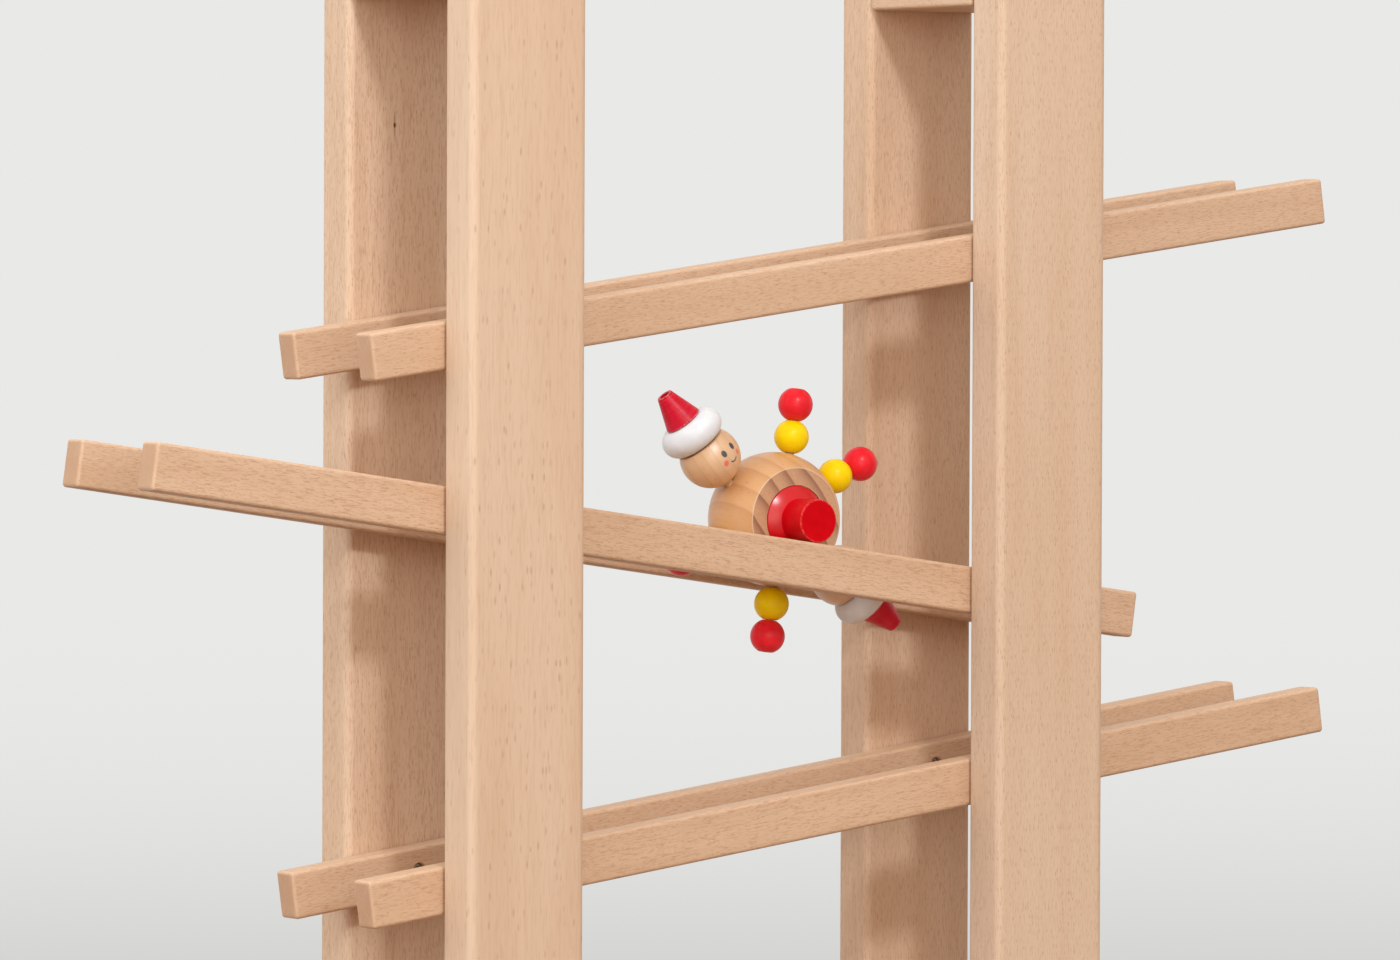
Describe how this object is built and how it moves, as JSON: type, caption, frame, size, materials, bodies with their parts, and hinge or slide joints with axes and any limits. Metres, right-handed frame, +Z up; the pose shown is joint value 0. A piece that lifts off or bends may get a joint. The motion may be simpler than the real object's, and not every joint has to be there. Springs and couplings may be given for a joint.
{
  "type": "wooden tumbler run",
  "caption": "Free-standing wooden tumbler run: a screwed beech tower of zig-zag rail tracks, with a turned figure of barrel, heads and bead limbs that rolls down on its axle pegs.",
  "frame": {"origin": "on the floor, under the middle of the tower", "axes": "+X to the right along the tracks, +Y from front to back, +Z up"},
  "size_m": [0.5972, 0.22, 0.586],
  "materials": {
    "oiled_beech": "oiled, satin",
    "clear_lacquered_wood": "clear lacquer, satin",
    "dowel_wood": "bare, matt",
    "red_lacquer": "red gloss lacquer",
    "yellow_lacquer": "yellow gloss lacquer",
    "white_lacquer": "white gloss lacquer",
    "steel_screw": "plain zinc"
  },
  "bodies": {
    "tower": {"upright_front_left": "oiled_beech", "upright_front_right": "oiled_beech", "upright_back_left": "oiled_beech", "upright_back_right": "oiled_beech", "foot_left": "oiled_beech", "foot_right": "oiled_beech", "top_spacer_left": "oiled_beech", "top_spacer_right": "oiled_beech", "rail_1_front": "oiled_beech", "rail_1_back": "oiled_beech", "rail_2_front": "oiled_beech", "rail_2_back": "oiled_beech", "rail_3_front": "oiled_beech", "rail_3_back": "oiled_beech", "rail_4_front": "oiled_beech", "rail_4_back": "oiled_beech", "rail_screw_1_front_left": "steel_screw", "rail_screw_1_front_right": "steel_screw", "rail_screw_1_back_left": "steel_screw", "rail_screw_1_back_right": "steel_screw", "rail_screw_2_front_left": "steel_screw", "rail_screw_2_front_right": "steel_screw", "rail_screw_2_back_left": "steel_screw", "rail_screw_2_back_right": "steel_screw", "rail_screw_3_front_left": "steel_screw", "rail_screw_3_front_right": "steel_screw", "rail_screw_3_back_left": "steel_screw", "rail_screw_3_back_right": "steel_screw", "rail_screw_4_front_left": "steel_screw", "rail_screw_4_front_right": "steel_screw", "rail_screw_4_back_left": "steel_screw", "rail_screw_4_back_right": "steel_screw", "spacer_screw_front_left": "steel_screw", "spacer_screw_front_right": "steel_screw", "spacer_screw_back_left": "steel_screw", "spacer_screw_back_right": "steel_screw"},
    "axle": {"axle_dowel": "dowel_wood"},
    "figure": {"barrel": "clear_lacquered_wood", "head_a": "clear_lacquered_wood", "head_b": "clear_lacquered_wood", "axle_end_front": "red_lacquer", "axle_end_back": "red_lacquer", "hat_a": "red_lacquer", "hat_b": "red_lacquer", "limb_1_outer_bead": "red_lacquer", "limb_2_outer_bead": "red_lacquer", "limb_3_outer_bead": "red_lacquer", "limb_4_outer_bead": "red_lacquer", "limb_1_inner_bead": "yellow_lacquer", "limb_2_inner_bead": "yellow_lacquer", "limb_3_inner_bead": "yellow_lacquer", "limb_4_inner_bead": "yellow_lacquer", "hat_brim_a": "white_lacquer", "hat_brim_b": "white_lacquer", "neck_dowel_a": "dowel_wood", "neck_dowel_b": "dowel_wood", "limb_1_dowel": "dowel_wood", "limb_2_dowel": "dowel_wood", "limb_3_dowel": "dowel_wood", "limb_4_dowel": "dowel_wood"}
  },
  "joints": [
    {"name": "axle_travel", "type": "slide", "parent": "tower", "child": "axle", "axis": [0.9903, 0, -0.1392], "range_m": [-0.32, 0.165]},
    {"name": "figure_roll", "type": "hinge", "parent": "axle", "child": "figure", "pos_m": [0.02955, 0, 0.35149], "axis": [0, 1, 0], "range_deg": [-1980, 1020]}
  ],
  "couplings": [
    {"joint": "axle_travel", "follows": "figure_roll", "m_per_rad": 0.00925}
  ]
}
